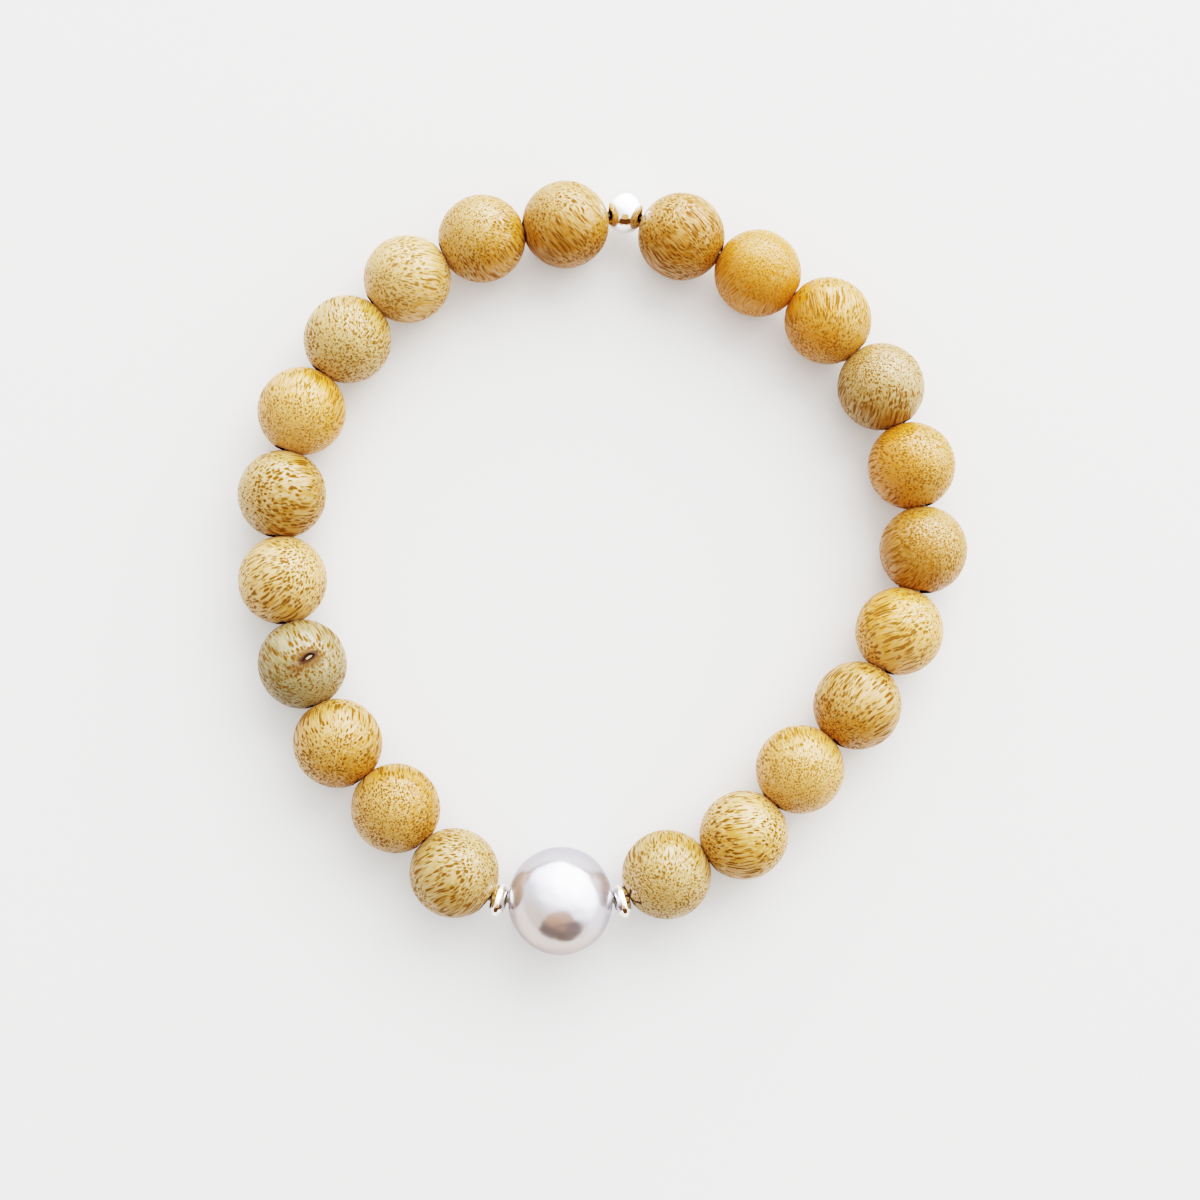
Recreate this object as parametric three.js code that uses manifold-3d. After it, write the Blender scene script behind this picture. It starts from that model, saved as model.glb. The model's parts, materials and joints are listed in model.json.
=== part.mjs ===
// Pearl bracelet: wood beads, one pearl between two silver saucers and one small silver ball, all drilled and
// strung on a closed elastic thread, lying in an open loop.
// Millimetres, +Z up, on a floor at z = 0. The pearl lies at the -Y end of the loop and the ball at its +Y end.

import * as THREE from 'three';
import { mergeVertices } from 'three/addons/utils/BufferGeometryUtils.js';
import Module from 'manifold-3d';

const wasm = await Module();
wasm.setup();

// Wood beads: round across the bore and a little shorter along it
const woodBeadsPerSide = 11;
const woodBeadDiameter = 8;
const woodBeadLength = 7.8;
const woodBoreDiameter = 1.4;
const woodMouthDiameter = 2;
const woodMouthDepth = 0.35;

// Natural pit in the top of one wood bead, measured from the middle of that bead
const pittedBeadName = 'wood_bead_15';
const pitOffsetX = 0.95;
const pitOffsetY = 0.4;
const pitLength = 1.5;
const pitWidth = 0.6;
const pitDepth = 0.45;
const pitHeadingDegrees = 32;

// Pearl
const pearlDiameter = 9.6;
const pearlLength = 9.4;
const pearlBoreDiameter = 1.2;
const pearlMouthDiameter = 1.4;
const pearlMouthDepth = 0.1;

// Silver ball, which hangs on the thread a little below the line of the wood beads' bores
const ballDiameter = 4.1;
const ballLength = 3.8;
const ballBoreDiameter = 1.8;
const ballMouthDiameter = 2.3;
const ballMouthDepth = 0.3;
const ballDrop = 0.9;

// Silver saucers beside the pearl: small flat faces, domed flanks and a raised middle rim. Halfway up a flank, this
// share of the way from face to rim is reached.
const saucerThickness = 1.3;
const saucerRimDiameter = 3.05;
const saucerRimWidth = 0.4;
const saucerFaceDiameter = 1.8;
const saucerBoreDiameter = 1.3;
const saucerFlankShare = 0.55;

// Elastic thread: it runs straight down the middle of each bore over a share of the piece's length each way, bends
// between the pieces and passes freely through the saucers
const threadDiameter = 0.5;
const beadGuidedShare = 0.38;
const ballGuidedShare = 0.21;

// Room between two round pieces, and between a round piece and a saucer, whose flat face leans against it
const neighbourGap = 0.05;
const saucerGap = 0.18;

// Fineness of the faceted shapes
const roundSides = 16;
const beadArcSteps = 10;
const smallArcSteps = 8;
const threadSides = 8;
const threadSteps = 112;

// Shape of the open loop seen from above, as points that the middle of the string follows. The first point is the
// silver ball's, and the rest go round by the right side, the pearl and the left side. The loop is drawn larger or
// smaller until the string closes on it.
const loopRoute = [
  [2.1, 32.8],
  [7.1, 30.3],
  [14.2, 26.9],
  [20.7, 22.5],
  [25.4, 16.7],
  [29.3, 1.2],
  [23.0, -13.1],
  [17.3, -19.3],
  [12.1, -25.1],
  [5.2, -28.4],
  [1.1, -30.7],
  [-4.1, -30.4],
  [-9.3, -30.4],
  [-13.5, -27.8],
  [-18.6, -22.2],
  [-23.7, -16.6],
  [-28.9, -2.0],
  [-27.5, 13.5],
  [-18.1, 25.9],
  [-11.3, 29.8],
  [-3.7, 31.2],
];

const up = new THREE.Vector3(0, 0, 1);
const degrees = Math.PI / 180;

const woodMaterial = new THREE.MeshStandardMaterial({ color: 0xd9b173, roughness: 0.5, metalness: 0 });
const pearlMaterial = new THREE.MeshStandardMaterial({ color: 0xd3ccd3, roughness: 0.2, metalness: 0.1 });
const silverMaterial = new THREE.MeshStandardMaterial({ color: 0xe3e3e1, roughness: 0.12, metalness: 1 });
const threadMaterial = new THREE.MeshStandardMaterial({ color: 0xe9e4d6, roughness: 0.35, metalness: 0 });

// Half outline of a round drilled bead, closed on itself: up the round outside, then down through the bore
function drilledRoundOutline({ diameter, length, bore, mouth, mouthDepth, steps }) {
  const outline = [];
  const mouthAngle = Math.acos(mouth / diameter);
  for (let step = 0; step <= steps; step += 1) {
    const angle = mouthAngle * (2 * step / steps - 1);
    outline.push(new THREE.Vector2(diameter / 2 * Math.cos(angle), length / 2 * Math.sin(angle)));
  }
  const boreEnd = length / 2 * Math.sin(mouthAngle) - mouthDepth;
  outline.push(new THREE.Vector2(bore / 2, boreEnd));
  outline.push(new THREE.Vector2(bore / 2, -boreEnd));
  outline.push(outline[0].clone());
  return outline;
}

// Half outline of a saucer, closed on itself
function saucerOutline() {
  const halfThickness = saucerThickness / 2;
  const halfRim = saucerRimWidth / 2;
  const boreRadius = saucerBoreDiameter / 2;
  const faceRadius = saucerFaceDiameter / 2;
  const rimRadius = saucerRimDiameter / 2;
  const flankRadius = faceRadius + (rimRadius - faceRadius) * saucerFlankShare;
  return [
    new THREE.Vector2(boreRadius, -halfThickness),
    new THREE.Vector2(faceRadius, -halfThickness),
    new THREE.Vector2(flankRadius, -(halfThickness + halfRim) / 2),
    new THREE.Vector2(rimRadius, -halfRim),
    new THREE.Vector2(rimRadius, halfRim),
    new THREE.Vector2(flankRadius, (halfThickness + halfRim) / 2),
    new THREE.Vector2(faceRadius, halfThickness),
    new THREE.Vector2(boreRadius, halfThickness),
    new THREE.Vector2(boreRadius, -halfThickness),
  ];
}

// One piece on the string: its turned shape, how far it and half its gaps reach along the string each way from its
// middle, how high its middle lies, and how far from its middle the thread still runs along its bore
function strungPiece({ name, outline, length, gap, height, guided, material }) {
  const geometry = new THREE.LatheGeometry(outline, roundSides);
  return { name, geometry, reach: (length + gap) / 2, height, guided, material };
}

function woodBead(number) {
  return strungPiece({
    name: `wood_bead_${String(number).padStart(2, '0')}`,
    outline: drilledRoundOutline({
      diameter: woodBeadDiameter,
      length: woodBeadLength,
      bore: woodBoreDiameter,
      mouth: woodMouthDiameter,
      mouthDepth: woodMouthDepth,
      steps: beadArcSteps,
    }),
    length: woodBeadLength,
    gap: neighbourGap,
    height: woodBeadDiameter / 2,
    guided: woodBeadLength * beadGuidedShare,
    material: woodMaterial,
  });
}

function pearl() {
  return strungPiece({
    name: 'pearl',
    outline: drilledRoundOutline({
      diameter: pearlDiameter,
      length: pearlLength,
      bore: pearlBoreDiameter,
      mouth: pearlMouthDiameter,
      mouthDepth: pearlMouthDepth,
      steps: beadArcSteps,
    }),
    length: pearlLength,
    gap: neighbourGap,
    height: pearlDiameter / 2,
    guided: pearlLength * beadGuidedShare,
    material: pearlMaterial,
  });
}

function silverBall() {
  return strungPiece({
    name: 'silver_ball',
    outline: drilledRoundOutline({
      diameter: ballDiameter,
      length: ballLength,
      bore: ballBoreDiameter,
      mouth: ballMouthDiameter,
      mouthDepth: ballMouthDepth,
      steps: smallArcSteps,
    }),
    length: ballLength,
    gap: neighbourGap,
    height: woodBeadDiameter / 2 - ballDrop,
    guided: ballLength * ballGuidedShare,
    material: silverMaterial,
  });
}

// The saucers hang between the pearl and a wood bead, so their middles lie between those two heights
function pearlSaucer(side) {
  return strungPiece({
    name: `pearl_saucer_${side}`,
    outline: saucerOutline(),
    length: saucerThickness,
    gap: 2 * saucerGap - neighbourGap,
    height: (pearlDiameter + woodBeadDiameter) / 4,
    guided: 0,
    material: silverMaterial,
  });
}

function piecesInOrder() {
  const pieces = [silverBall()];
  for (let number = 1; number <= woodBeadsPerSide; number += 1) {
    pieces.push(woodBead(number));
  }
  pieces.push(pearlSaucer('right'), pearl(), pearlSaucer('left'));
  for (let number = woodBeadsPerSide + 1; number <= 2 * woodBeadsPerSide; number += 1) {
    pieces.push(woodBead(number));
  }
  return pieces;
}

function routeCurve(scale) {
  const points = loopRoute.map(([x, y]) => new THREE.Vector3(x * scale, y * scale, 0));
  const curve = new THREE.CatmullRomCurve3(points, true, 'centripetal');
  curve.arcLengthDivisions = 1600;
  return curve;
}

function onRoute(curve, share, height) {
  return curve.getPointAt(share % 1).setZ(height);
}

// Share of the route at which the next piece just reaches its neighbour
function nextShare(curve, share, piece, next) {
  const spacing = piece.reach + next.reach;
  const from = onRoute(curve, share, piece.height);
  let near = share;
  let far = share + 2 * spacing / curve.getLength();
  for (let halving = 0; halving < 40; halving += 1) {
    const middle = (near + far) / 2;
    if (from.distanceTo(onRoute(curve, middle, next.height)) < spacing) {
      near = middle;
    } else {
      far = middle;
    }
  }
  return near;
}

function walkRoute(curve, pieces) {
  const shares = [0];
  pieces.forEach((piece, index) => {
    const next = pieces[(index + 1) % pieces.length];
    shares.push(nextShare(curve, shares[index], piece, next));
  });
  return shares;
}

// Draws the loop at the size at which the last piece reaches the first one again
function centresOnClosedLoop(pieces) {
  let small = 0.25;
  let large = 4;
  for (let halving = 0; halving < 40; halving += 1) {
    const scale = (small + large) / 2;
    if (walkRoute(routeCurve(scale), pieces).at(-1) > 1) {
      small = scale;
    } else {
      large = scale;
    }
  }
  const curve = routeCurve(large);
  const shares = walkRoute(curve, pieces);
  return pieces.map((piece, index) => onRoute(curve, shares[index], piece.height));
}

// Turns a lathed piece so that its bore, local Y, lies along the string and local Z stays on top
function turnToString(bore) {
  const side = new THREE.Vector3().crossVectors(up, bore).normalize();
  const top = new THREE.Vector3().crossVectors(bore, side);
  const across = new THREE.Vector3().crossVectors(bore, top);
  return new THREE.Quaternion().setFromRotationMatrix(new THREE.Matrix4().makeBasis(across, bore, top));
}

function asSolid(geometry) {
  const bare = geometry.clone();
  bare.deleteAttribute('normal');
  bare.deleteAttribute('uv');
  const merged = mergeVertices(bare, 0.0001);
  return new wasm.Manifold(new wasm.Mesh({
    numProp: 3,
    vertProperties: new Float32Array(merged.attributes.position.array),
    triVerts: new Uint32Array(merged.index.array),
  }));
}

function asGeometry(solid) {
  const mesh = solid.getMesh();
  const geometry = new THREE.BufferGeometry();
  geometry.setAttribute('position', new THREE.BufferAttribute(mesh.vertProperties, 3));
  geometry.setIndex(new THREE.BufferAttribute(mesh.triVerts, 1));
  geometry.computeVertexNormals();
  return geometry;
}

// Long hollow where a knot has dried out, sunk into the top of a turned bead
function cutNaturalPit(bead) {
  const radius = woodBeadDiameter / 2;
  const riseSquared = radius ** 2 - pitOffsetX ** 2 - pitOffsetY ** 2;
  const site = new THREE.Vector3(pitOffsetX, pitOffsetY, Math.sqrt(riseSquared));
  const hollow = new THREE.SphereGeometry(0.5, 12, 8);
  hollow.scale(pitLength, pitWidth, 2 * pitDepth);
  hollow.rotateZ(pitHeadingDegrees * degrees);
  hollow.translate(site.x, site.y, site.z);
  hollow.applyQuaternion(bead.quaternion.clone().invert());
  bead.geometry = asGeometry(asSolid(bead.geometry).subtract(asSolid(hollow)));
}

function placedPieces(pieces, centres) {
  return pieces.map((piece, index) => {
    const previous = centres.at(index - 1);
    const next = centres[(index + 1) % centres.length];
    const bore = new THREE.Vector3().subVectors(next, previous).normalize();
    const mesh = new THREE.Mesh(piece.geometry, piece.material);
    mesh.name = piece.name;
    mesh.position.copy(centres[index]);
    mesh.quaternion.copy(turnToString(bore));
    mesh.updateMatrixWorld();
    return mesh;
  });
}

// Closed loop of thread that runs down the middle of each bore and bends between the pieces
function elasticThread(pieces, meshes) {
  const points = [];
  pieces.forEach((piece, index) => {
    const stops = piece.guided > 0 ? [-piece.guided, piece.guided] : [0];
    stops.forEach((along) => points.push(meshes[index].localToWorld(new THREE.Vector3(0, along, 0))));
  });
  const path = new THREE.CatmullRomCurve3(points, true, 'centripetal');
  path.arcLengthDivisions = 1600;
  const geometry = new THREE.TubeGeometry(path, threadSteps, threadDiameter / 2, threadSides, true);
  const mesh = new THREE.Mesh(geometry, threadMaterial);
  mesh.name = 'elastic_thread';
  return mesh;
}

// Sets the bracelet on the floor with the middle of its outline at the origin
function centreOnFloor(group) {
  const box = new THREE.Box3().setFromObject(group, true);
  const middle = box.getCenter(new THREE.Vector3());
  group.position.set(-middle.x, -middle.y, -box.min.z);
}

function buildBracelet() {
  const pieces = piecesInOrder();
  const meshes = placedPieces(pieces, centresOnClosedLoop(pieces));
  cutNaturalPit(meshes[pieces.findIndex((piece) => piece.name === pittedBeadName)]);
  const group = new THREE.Group();
  group.add(...meshes, elasticThread(pieces, meshes));
  centreOnFloor(group);
  return group;
}

export default buildBracelet();
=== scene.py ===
"""Looks of a stretch bracelet: wood beads, a pearl between two silver saucers, and a small silver ball."""

from __future__ import annotations

import json
import logging
import math
import sys
from dataclasses import dataclass
from enum import Enum
from typing import Any

import bpy
from mathutils import Matrix, Vector, noise

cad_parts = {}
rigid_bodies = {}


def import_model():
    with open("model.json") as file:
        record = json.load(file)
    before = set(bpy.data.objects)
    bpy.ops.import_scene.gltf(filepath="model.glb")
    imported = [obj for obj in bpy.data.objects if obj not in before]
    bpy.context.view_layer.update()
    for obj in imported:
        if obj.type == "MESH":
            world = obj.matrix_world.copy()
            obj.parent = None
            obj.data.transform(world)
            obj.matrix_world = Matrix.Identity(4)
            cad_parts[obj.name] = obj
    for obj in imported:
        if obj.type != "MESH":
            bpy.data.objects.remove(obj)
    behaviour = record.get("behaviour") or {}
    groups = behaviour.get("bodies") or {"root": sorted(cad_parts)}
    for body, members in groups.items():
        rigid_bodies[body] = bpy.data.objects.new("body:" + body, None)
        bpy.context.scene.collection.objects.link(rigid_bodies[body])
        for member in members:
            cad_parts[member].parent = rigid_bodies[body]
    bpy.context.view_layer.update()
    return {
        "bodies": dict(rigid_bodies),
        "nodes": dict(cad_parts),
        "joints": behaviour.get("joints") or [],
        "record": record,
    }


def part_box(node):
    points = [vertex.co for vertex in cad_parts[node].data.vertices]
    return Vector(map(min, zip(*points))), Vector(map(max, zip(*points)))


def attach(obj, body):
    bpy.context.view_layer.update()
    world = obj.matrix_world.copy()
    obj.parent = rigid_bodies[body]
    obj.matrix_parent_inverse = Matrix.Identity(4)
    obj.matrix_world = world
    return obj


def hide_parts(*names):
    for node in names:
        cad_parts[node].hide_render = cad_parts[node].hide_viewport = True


LOG = logging.getLogger("bracelet")

Colour = tuple[float, float, float]
Triple = tuple[float, float, float]

MM = 0.001
ROOT = "root"
WOBBLE_WAVES = 0.35
MOUTH_STEPS = 6
WOOD_BEADS_PER_SIDE = 11


class Signal:
    """One output socket of a node tree, on which sums are written as Python expressions."""

    def __init__(self, nodes: Nodes, socket: bpy.types.NodeSocket | None) -> None:
        """Keeps the node tree and the socket that the sums are made from."""
        self.nodes = nodes
        self.socket = socket

    def _sum(self, operation: str, first: Any, second: Any) -> Signal:
        """Adds one Math node that joins two values."""
        return self.nodes.node("ShaderNodeMath", {"operation": operation}, {0: first, 1: second})

    def __add__(self, other: Any) -> Signal:
        """Adds a value."""
        return self._sum("ADD", self, other)

    def __radd__(self, other: Any) -> Signal:
        """Adds to a value."""
        return self._sum("ADD", other, self)

    def __sub__(self, other: Any) -> Signal:
        """Takes a value away."""
        return self._sum("SUBTRACT", self, other)

    def __rsub__(self, other: Any) -> Signal:
        """Is taken away from a value."""
        return self._sum("SUBTRACT", other, self)

    def __mul__(self, other: Any) -> Signal:
        """Multiplies by a value."""
        return self._sum("MULTIPLY", self, other)

    def __rmul__(self, other: Any) -> Signal:
        """Multiplies a value."""
        return self._sum("MULTIPLY", other, self)

    def __truediv__(self, other: Any) -> Signal:
        """Divides by a value."""
        return self._sum("DIVIDE", self, other)

    def __pow__(self, other: Any) -> Signal:
        """Raises to a power."""
        return self._sum("POWER", self, other)


class Nodes:
    """A node tree that is built from nothing."""

    def __init__(self, owner: bpy.types.Material | bpy.types.World) -> None:
        """Empties the owner's node tree.

        Args:
            owner: The material or world that the nodes belong to.
        """
        owner.use_nodes = True
        self.tree = owner.node_tree
        self.tree.nodes.clear()

    def node(
        self,
        kind: str,
        settings: dict[str, Any] | None = None,
        sockets: dict[str | int, Any] | None = None,
        output: str | int = 0,
    ) -> Signal:
        """Adds a node.

        Args:
            kind: Blender's type name of the node.
            settings: Properties of the node, set first.
            sockets: Values or signals of its inputs, by name or place.
            output: Name or place of the output that is wanted.

        Returns:
            The wanted output as a signal.
        """
        made = self.tree.nodes.new(kind)
        for key, value in (settings or {}).items():
            setattr(made, key, value)
        for key, value in (sockets or {}).items():
            if isinstance(value, Signal):
                self.tree.links.new(value.socket, made.inputs[key])
            else:
                made.inputs[key].default_value = value
        return Signal(self, made.outputs[output]) if made.outputs else Signal(self, None)


class Shader(Nodes):
    """Node tree of one finish, with a Principled surface."""

    def __init__(self, name: str) -> None:
        """Makes an empty material.

        Args:
            name: Plain name of the finish.
        """
        self.material = bpy.data.materials.new(name)
        super().__init__(self.material)

    def mix(self, amount: Any, first: Any, second: Any) -> Signal:
        """Mixes two colours.

        Args:
            amount: How much of the second colour shows.
            first: Colour or signal.
            second: Colour or signal.

        Returns:
            The mixed colour.
        """
        settings = {"data_type": "RGBA", "blend_type": "MIX", "clamp_factor": True}
        sockets = {0: amount, 6: self._paint(first), 7: self._paint(second)}
        return self.node("ShaderNodeMix", settings, sockets, output=2)

    def _paint(self, colour: Any) -> Any:
        """Gives a plain colour the fourth number that a colour socket needs."""
        return colour if isinstance(colour, Signal) else (*colour, 1.0)

    def ease(self, signal: Signal, low: float, high: float) -> Signal:
        """Rises smoothly from 0 at low to 1 at high."""
        settings = {"interpolation_type": "SMOOTHSTEP", "clamp": True}
        return self.node("ShaderNodeMapRange", settings, {0: signal, 1: low, 2: high, 3: 0.0, 4: 1.0})

    def stretch(self, vector: Signal, shares: Triple) -> Signal:
        """Scales a place by one number along each axis."""
        return self.node("ShaderNodeVectorMath", {"operation": "MULTIPLY"}, {0: vector, 1: shares})

    def shift(self, vector: Signal, step: Any) -> Signal:
        """Moves a place by a fixed or a varying step."""
        return self.node("ShaderNodeVectorMath", {"operation": "ADD"}, {0: vector, 1: step})

    def dot(self, vector: Signal, way: Any) -> Signal:
        """How far a place lies along a way."""
        sockets = {0: vector, 1: tuple(way)}
        return self.node("ShaderNodeVectorMath", {"operation": "DOT_PRODUCT"}, sockets, "Value")

    def length(self, vector: Signal) -> Signal:
        """Length of a vector."""
        return self.node("ShaderNodeVectorMath", {"operation": "LENGTH"}, {0: vector}, "Value")

    def bump(self, strength: float, distance: float, height: Signal) -> Signal:
        """Small relief.

        Args:
            strength: How much of the relief shows, from 0 to 1.
            distance: Rise at a height of 1, in millimetres.
            height: Height of the surface.

        Returns:
            The surface's normal.
        """
        sockets = {"Strength": strength, "Distance": distance * MM, "Height": height}
        return self.node("ShaderNodeBump", {}, sockets)

    def cloud(self, vector: Signal, scale: float, detail: float = 2.0, output: str = "Fac") -> Signal:
        """Soft noise.

        Args:
            vector: Place in millimetres.
            scale: Waves to the millimetre.
            detail: How many finer layers are added.
            output: "Fac" for a value or "Color" for three.

        Returns:
            The noise.
        """
        sockets = {"Vector": vector, "Scale": scale, "Detail": detail}
        return self.node("ShaderNodeTexNoise", {}, sockets, output)

    def surface(self, sockets: dict[str | int, Any]) -> bpy.types.Material:
        """Ends the tree in a Principled surface.

        Args:
            sockets: Values or signals of the surface's inputs.

        Returns:
            The finished material.
        """
        shading = self.node("ShaderNodeBsdfPrincipled", {}, sockets)
        self.node("ShaderNodeOutputMaterial", {}, {"Surface": shading})
        return self.material

    def millimetres(self) -> Signal:
        """Place on the object in millimetres."""
        place = self.node("ShaderNodeTexCoord", {}, {}, "Object")
        return self.stretch(place, (1 / MM, 1 / MM, 1 / MM))


class Tone(Enum):
    """Colour of one bead's wood, as its pale and its deep part."""

    GOLDEN = ((0.436, 0.224, 0.066), (0.374, 0.140, 0.010))
    ORANGE = ((0.446, 0.196, 0.036), (0.464, 0.150, 0.008))
    HONEY = ((0.524, 0.261, 0.081), (0.487, 0.194, 0.022))
    KHAKI = ((0.420, 0.257, 0.100), (0.340, 0.160, 0.022))
    ASH = ((0.375, 0.224, 0.083), (0.272, 0.120, 0.014))
    GREY_GREEN = ((0.275, 0.206, 0.094), (0.165, 0.106, 0.018))
    PALE = ((0.524, 0.303, 0.118), (0.425, 0.190, 0.030))
    BROWN = ((0.401, 0.200, 0.050), (0.306, 0.107, 0.003))


@dataclass(frozen=True)
class Grain:
    """How the wood of one bead lies, as seen from above.

    Attributes:
        tone: Colour of the wood.
        heading: Way in which the pores rise, in degrees from +X towards +Y.
        lean: How far they rise out of the floor's plane, in degrees. At 90 the top shows end grain.
        pores: How dark the pores are.
        deep_side: Way to the deeper coloured side, in degrees from +X. It is partly the wood's own uneven
            tone and partly painted shade, since most beads are deeper on the side away from the key light.
        deep_start: Where the deeper colour begins, from -1 at the far rim to 1 at the rim of that side.
        size: Size of the pores against the common ones.
        lift: How far the deeper side also faces up, from 0 to 1.
        bore_shade_reach: How far from the bore's middle the painted shade inside the bore and round its
            mouths reaches, in millimetres.
        chips: How ragged the edge of that painted shade is, in millimetres.
        shade: Brightness of the wood against its tone.
        gloss: How much the wax shines.
        cracks: Ends of each short crack, in millimetres from the bead's middle.
    """

    tone: Tone
    heading: float
    lean: float
    pores: float = 0.6
    deep_side: float = 270.0
    deep_start: float = 0.0
    size: float = 1.0
    lift: float = 0.0
    bore_shade_reach: float = 1.0
    chips: float = 0.35
    shade: float = 1.0
    gloss: float = 0.90
    cracks: tuple[tuple[Triple, Triple], ...] = ()

    def colours(self) -> tuple[Colour, Colour]:
        """Colours of this bead's pale and deep parts."""
        pale, deep = self.tone.value
        return tuple(self.shade * part for part in pale), tuple(self.shade * part for part in deep)

    def along(self) -> Vector:
        """Way in which the pores run."""
        heading = math.radians(self.heading)
        lean = math.radians(self.lean)
        level = math.cos(lean)
        return Vector((math.cos(heading) * level, math.sin(heading) * level, math.sin(lean)))

    def to_grain(self) -> Matrix:
        """Turn after which the pores run along Z."""
        return self.along().rotation_difference(Vector((0.0, 0.0, 1.0))).to_matrix()

    def deep_way(self) -> Vector:
        """Way to the deeper coloured side."""
        side = math.radians(self.deep_side)
        return Vector((math.cos(side), math.sin(side), self.lift)).normalized()


@dataclass(frozen=True)
class Knot:
    """Natural pit in a bead, with the dark wood round it.

    Attributes:
        site: Middle of the pit from the bead's middle, in millimetres.
        heading: Way in which it is long, in degrees from +X.
        length: Length in millimetres.
        width: Width in millimetres.
        depth: Depth in millimetres.
        raggedness: How far its edge strays, as a share of its size.
        ragged_waves: Waves of the edge over the length.
        taper: How much narrower it is at its ends, as a share of its width.
    """

    site: Vector
    heading: float
    length: float
    width: float
    depth: float
    raggedness: float = 0.22
    ragged_waves: float = 3.1
    taper: float = 0.55

    def turn(self) -> Matrix:
        """Turn from the pit's own axes to the bead's."""
        return Matrix.Rotation(math.radians(self.heading), 3, "Z")


@dataclass(frozen=True)
class Spot:
    """Oval spot near the natural pit.

    Attributes:
        middle: Its middle from the pit's middle, in millimetres.
        reach: How far it reaches from its middle along each axis, in millimetres.
    """

    middle: Triple
    reach: Triple


@dataclass(frozen=True)
class WoodFinish:
    """Waxed open-pored wood.

    Attributes:
        name: Plain name of the finish.
        grain: How the wood lies.
        seed: Number that picks the stretch of wood that the bead was turned from.
        radius: Radius of the bead in millimetres.
        bore: Way in which the bore runs.
        knot: Natural pit, where the bead has one.
        pore_spacing: Spacing of the common pores, in millimetres.
        pore_length: Length of a pore, in millimetres.
        pore_depth: Depth of the relief that the pores make, in millimetres.
        fine_spacing: Spacing of the second, finer pores against the common ones.
        fine_strength: How dark the finer pores are against the common ones.
        block_step: How far apart in the block two beads were turned, in millimetres.
        deep_share: How much the deeper side deepens the colour.
        fleck_share: How much a dark fleck deepens the colour.
        pale_share: How far the flecks and the deeper side are held back, so that pale wood stays pale.
        crack_half_width: Half the width of a crack, in millimetres.
        pore_colour: Colour in a pore.
        painted_shade_colour: Colour of the painted shade inside the bore, round its mouths and in a crack.
        knot_colour: Colour of the stained wood round the pit.
        pit_shade_colour: Colour of the painted shade on the pit's walls.
        heart_colour: Colour of the pale heart in the pit.
        halo: Stained wood round the pit.
        stain: Second stain beside it.
        heart: Pale heart in the pit.
    """

    name: str
    grain: Grain
    seed: int
    radius: float
    bore: Vector
    knot: Knot | None = None

    pore_spacing: float = 0.285
    pore_length: float = 3.2
    pore_depth: float = 0.05
    fine_spacing: float = 0.70
    fine_strength: float = 0.80
    block_step: float = 31.7
    deep_share: float = 0.85
    fleck_share: float = 0.80
    pale_share: float = 0.36
    crack_half_width: float = 0.11
    pore_colour: Colour = (0.13, 0.046, 0.0)
    painted_shade_colour: Colour = (0.035, 0.014, 0.006)
    knot_colour: Colour = (0.12, 0.050, 0.010)
    pit_shade_colour: Colour = (0.040, 0.016, 0.005)
    heart_colour: Colour = (0.80, 0.66, 0.44)
    halo: Spot = Spot((0.12, 0.0, 0.0), (1.35, 0.95, 2.0))
    stain: Spot = Spot((-1.15, -0.95, -0.2), (1.0, 0.7, 2.0))
    heart: Spot = Spot((0.02, 0.03, 0.0), (0.36, 0.11, 2.0))

    def material(self) -> bpy.types.Material:
        """Builds the wood.

        Returns:
            The finished material.
        """
        shader = Shader(self.name)
        place = shader.millimetres()
        wood = self._wood_place(shader, place)
        pale, deep = self.grain.colours()
        deepness = self._deepness(shader, place, wood)
        flecks = self._flecks(shader, wood)
        depth = deepness * self.deep_share + flecks * self.fleck_share - self.pale_share
        colour = shader.mix(depth, pale, deep)
        pores = self._pores(shader, wood)
        colour = shader.mix(pores * min(1.0, 1.2 * self.grain.pores), colour, self.pore_colour)
        # Painted shade: near-black inside the bore and round its mouths, where the beads meet.
        painted_shade = self._bore_shade(shader, place)
        # Painted shade in the cracks, in the same near-black as the bore.
        for start, end in self.grain.cracks:
            painted_shade = 1 - (1 - painted_shade) * (1 - self._crack(shader, place, start, end))
        dull = painted_shade
        if self.knot:
            colour, stained = self._knot_colour(shader, place, colour)
            dull = 1 - (1 - painted_shade) * (1 - stained)
        colour = shader.mix(painted_shade, colour, self.painted_shade_colour)
        relief = 0.5 - pores * 0.5 - flecks * 0.18
        return shader.surface({
            "Base Color": colour,
            "Roughness": 0.48 + pores * 0.2 + painted_shade * 0.3,
            "Normal": shader.bump(0.4, self.pore_depth, relief),
            "Specular IOR Level": 0.12,
            "Coat Weight": (1 - pores) * (1 - flecks * 0.5) * (1 - dull) * self.grain.gloss,
            "Coat Roughness": 0.36,
        })

    def _wood_place(self, shader: Shader, place: Signal) -> Signal:
        """Place in the block that the bead was turned from, a little wavy.

        Args:
            shader: The node tree.
            place: Place on the bead in millimetres.

        Returns:
            The place with the pores along Z, in millimetres.
        """
        block = self.block_step * self.seed
        sockets = {
            "Vector": place,
            "Rotation": self.grain.to_grain().to_euler(),
            "Location": (block, 0.37 * block, 0.61 * block),
        }
        straight = shader.node("ShaderNodeMapping", {"vector_type": "POINT"}, sockets)
        wave = shader.shift(shader.cloud(straight, 0.30, 1.0, "Color"), (-0.5, -0.5, -0.5))
        return shader.shift(straight, shader.stretch(wave, (1.1, 1.1, 0.6)))

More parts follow.
